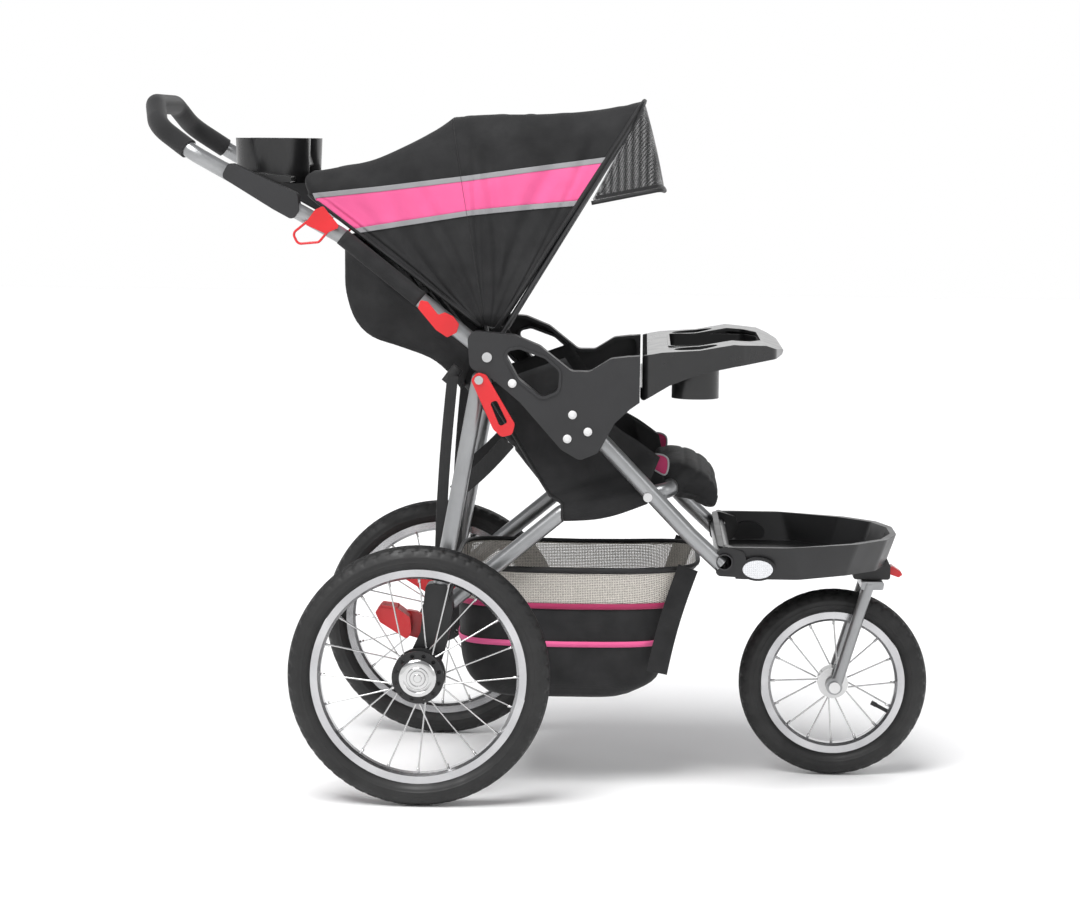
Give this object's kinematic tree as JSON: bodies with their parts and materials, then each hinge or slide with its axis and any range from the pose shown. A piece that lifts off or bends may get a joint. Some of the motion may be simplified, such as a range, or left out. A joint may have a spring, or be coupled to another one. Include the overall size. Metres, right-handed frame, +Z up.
{
  "type": "jogging stroller",
  "caption": "Folding jogging stroller with spoked wheels, swivel front fork, reclining seat, canopy, basket, child tray and parent tray.",
  "frame": {"origin": "middle of the footprint on the floor, under the centre of the bounding box", "axes": "+X forward, +Y to the stroller's left, +Z up"},
  "size_m": [1.239, 0.598, 1.0755],
  "materials": {
    "tube_silver": "satin",
    "bright_metal": "polished",
    "rim_metal": "polished",
    "black_plastic": "matte",
    "red_plastic": "semi-gloss",
    "tyre_rubber": "matte",
    "grip_foam": "matte",
    "black_fabric": "woven",
    "pad_fabric": "woven",
    "mesh_fabric": "woven mesh",
    "webbing": "woven",
    "reflector": "gloss"
  },
  "bodies": {
    "frame": {"side_bracket_right": "black_plastic", "side_bracket_left": "black_plastic", "front_tube_right": "tube_silver", "front_tube_left": "tube_silver", "foot_tray": "black_plastic", "tray_cross_tube": "black_plastic", "tray_reflectors": "reflector", "stem_housing": "black_plastic", "steering_bearings": "bright_metal", "child_tray": "black_plastic", "bracket_rivets": "bright_metal", "pivot_bolts": "bright_metal", "canopy_hubs": "black_plastic", "basket_front": "mesh_fabric", "basket_rear": "mesh_fabric", "back_straps": "webbing"},
    "handle": {"handle_frame": "tube_silver", "handle_grip": "grip_foam", "parent_tray": "black_plastic", "tray_clamps": "black_plastic", "canopy_rear": "black_fabric"},
    "middle_bow": {"canopy_middle_bow": "black_plastic"},
    "front_bow": {"canopy_front_bow": "black_plastic", "canopy_front": "black_fabric", "canopy_visor": "mesh_fabric"},
    "rear_frame": {"rear_leg_right": "tube_silver", "rear_leg_left": "tube_silver", "rear_axle_tube": "black_plastic", "axle_bracket_right": "black_plastic", "axle_bracket_left": "black_plastic", "rear_bracket_pins": "bright_metal"},
    "seat_frame": {"seat_frame_tube": "tube_silver", "seat_pan": "black_fabric", "calf_rest": "pad_fabric", "lap_belt": "webbing"},
    "seat_rest": {"seat_back": "black_fabric", "shoulder_straps": "webbing"},
    "fork_body": {"fork": "tube_silver", "front_axle": "bright_metal"},
    "front_wheel": {"front_tyre": "tyre_rubber", "front_rim": "rim_metal", "front_spokes": "bright_metal", "front_hub": "bright_metal"},
    "swivel_lock": {"swivel_lock_lever": "red_plastic"},
    "rear_wheel_right": {"rear_tyre_right": "tyre_rubber", "rear_rim_right": "rim_metal", "rear_spokes_right": "bright_metal", "rear_hub_right": "black_plastic"},
    "brake_right": {"brake_pedal_right": "red_plastic"},
    "lever_right": {"lock_lever_right": "red_plastic"},
    "trigger_right": {"fold_trigger_right": "red_plastic"},
    "latch_right": {"fold_latch_right": "red_plastic"},
    "rear_wheel_left": {"rear_tyre_left": "tyre_rubber", "rear_rim_left": "rim_metal", "rear_spokes_left": "bright_metal", "rear_hub_left": "black_plastic"},
    "brake_left": {"brake_pedal_left": "red_plastic"},
    "lever_left": {"lock_lever_left": "red_plastic"},
    "trigger_left": {"fold_trigger_left": "red_plastic"},
    "latch_left": {"fold_latch_left": "red_plastic"}
  },
  "joints": [
    {"name": "fold", "type": "hinge", "parent": "frame", "child": "handle", "pos_m": [-0.0775, 0, 0.684], "axis": [0, -1, 0], "range_deg": [-75, 0]},
    {"name": "rear_fold", "type": "hinge", "parent": "frame", "child": "rear_frame", "pos_m": [-0.089, 0, 0.65], "axis": [0, -1, 0], "range_deg": [0, 34], "deforming": ["basket_rear", "back_straps"]},
    {"name": "seat_fold", "type": "hinge", "parent": "frame", "child": "seat_frame", "pos_m": [0.168, 0, 0.4716], "axis": [0, -1, 0], "range_deg": [0, 26]},
    {"name": "middle_bow_swing", "type": "hinge", "parent": "handle", "child": "middle_bow", "pos_m": [-0.0775, 0, 0.684], "axis": [0, -1, 0], "range_deg": [0, 37], "deforming": ["canopy_rear"]},
    {"name": "canopy", "type": "hinge", "parent": "middle_bow", "child": "front_bow", "pos_m": [-0.0775, 0, 0.684], "axis": [0, -1, 0], "range_deg": [0, 38], "deforming": ["canopy_front"]},
    {"name": "recline", "type": "hinge", "parent": "seat_frame", "child": "seat_rest", "pos_m": [0.031, 0, 0.462], "axis": [0, -1, 0], "range_deg": [0, 25]},
    {"name": "fork_swivel", "type": "hinge", "parent": "frame", "child": "fork_body", "pos_m": [0.527, 0, 0.316], "axis": [0, 0, 1], "continuous": true},
    {"name": "front_wheel_spin", "type": "hinge", "parent": "fork_body", "child": "front_wheel", "pos_m": [0.469, 0, 0.1505], "axis": [0, 1, 0], "continuous": true},
    {"name": "swivel_lock_lift", "type": "hinge", "parent": "frame", "child": "swivel_lock", "pos_m": [0.5593, 0, 0.337], "axis": [0, -1, 0], "range_deg": [0, 30]},
    {"name": "rear_wheel_spin_right", "type": "hinge", "parent": "rear_frame", "child": "rear_wheel_right", "pos_m": [-0.176, -0.275, 0.2], "axis": [0, 1, 0], "continuous": true},
    {"name": "brake_right_press", "type": "hinge", "parent": "rear_frame", "child": "brake_right", "pos_m": [-0.164, -0.208, 0.257], "axis": [0, -1, 0], "range_deg": [0, 22]},
    {"name": "lever_right_lift", "type": "hinge", "parent": "frame", "child": "lever_right", "pos_m": [-0.089, -0.256, 0.65], "axis": [0, -1, 0], "range_deg": [0, 30]},
    {"name": "trigger_right_pull", "type": "slide", "parent": "handle", "child": "trigger_right", "axis": [-0.8785, 0, 0.4777], "range_m": [0, 0.012], "stiffness_N_per_m": 300},
    {"name": "latch_right_release", "type": "slide", "parent": "handle", "child": "latch_right", "axis": [-0.7849, 0, 0.6196], "range_m": [0, 0.01]},
    {"name": "rear_wheel_spin_left", "type": "hinge", "parent": "rear_frame", "child": "rear_wheel_left", "pos_m": [-0.176, 0.275, 0.2], "axis": [0, 1, 0], "continuous": true},
    {"name": "brake_left_press", "type": "hinge", "parent": "rear_frame", "child": "brake_left", "pos_m": [-0.164, 0.208, 0.257], "axis": [0, -1, 0], "range_deg": [0, 22]},
    {"name": "lever_left_lift", "type": "hinge", "parent": "frame", "child": "lever_left", "pos_m": [-0.089, 0.256, 0.65], "axis": [0, -1, 0], "range_deg": [0, 30]},
    {"name": "trigger_left_pull", "type": "slide", "parent": "handle", "child": "trigger_left", "axis": [-0.8785, 0, 0.4777], "range_m": [0, 0.012], "stiffness_N_per_m": 300},
    {"name": "latch_left_release", "type": "slide", "parent": "handle", "child": "latch_left", "axis": [-0.7849, 0, 0.6196], "range_m": [0, 0.01]}
  ],
  "couplings": [
    {"joint": "rear_fold", "follows": "fold", "ratio": -0.4532},
    {"joint": "seat_fold", "follows": "fold", "ratio": -0.3466},
    {"joint": "middle_bow_swing", "follows": "fold", "ratio": -0.4932},
    {"joint": "latch_right_release", "follows": "trigger_right_pull", "ratio": 0.8},
    {"joint": "latch_left_release", "follows": "trigger_left_pull", "ratio": 0.8}
  ]
}
